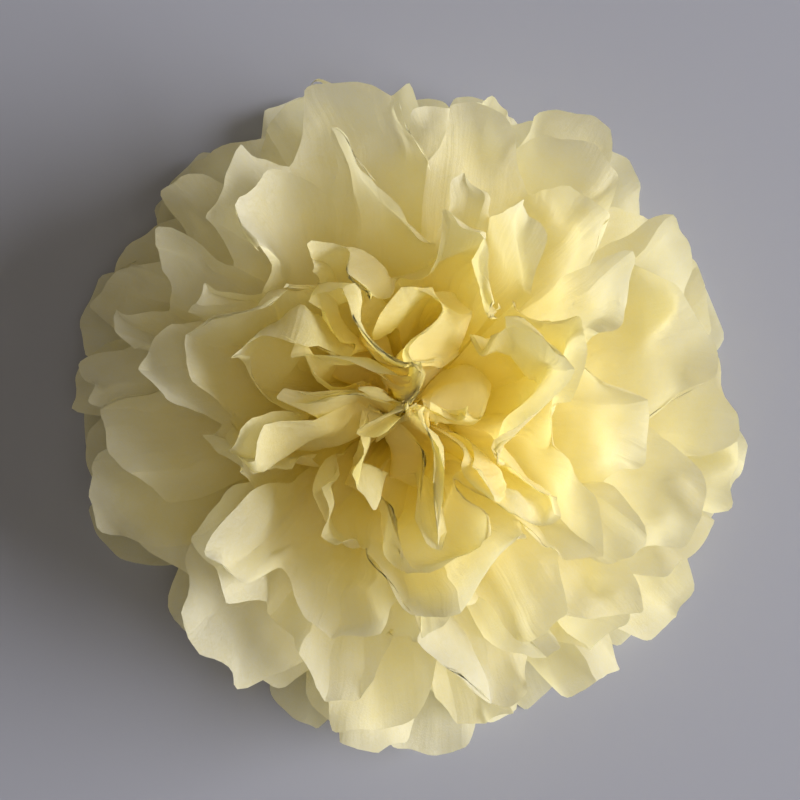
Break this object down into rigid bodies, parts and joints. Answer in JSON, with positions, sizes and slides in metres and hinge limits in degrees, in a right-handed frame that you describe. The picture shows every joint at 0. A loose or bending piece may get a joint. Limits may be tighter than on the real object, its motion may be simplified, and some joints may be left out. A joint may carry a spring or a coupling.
{
  "type": "tissue paper flower",
  "caption": "Paper flower: pleated tissue sheets tied across the middle with wire and pulled up petal by petal into a full dome that lies on its lowest petals.",
  "frame": {"origin": "on the ground under the middle of the flower's outline", "axes": "+Z up out of the flower's heart, +X to the right and +Y up in the picture, which looks down on it"},
  "size_m": [0.1538, 0.154, 0.0796],
  "materials": {
    "tissue": "matte",
    "wire": "satin"
  },
  "bodies": {
    "root": {"tissue_sheet_1": "tissue", "tissue_sheet_2": "tissue", "tissue_sheet_3": "tissue", "tissue_sheet_4": "tissue", "tissue_sheet_5": "tissue", "tissue_sheet_6": "tissue", "tissue_sheet_7": "tissue", "tissue_sheet_8": "tissue", "tissue_sheet_9": "tissue", "tissue_sheet_10": "tissue", "tie_wire": "wire"}
  },
  "joints": []
}
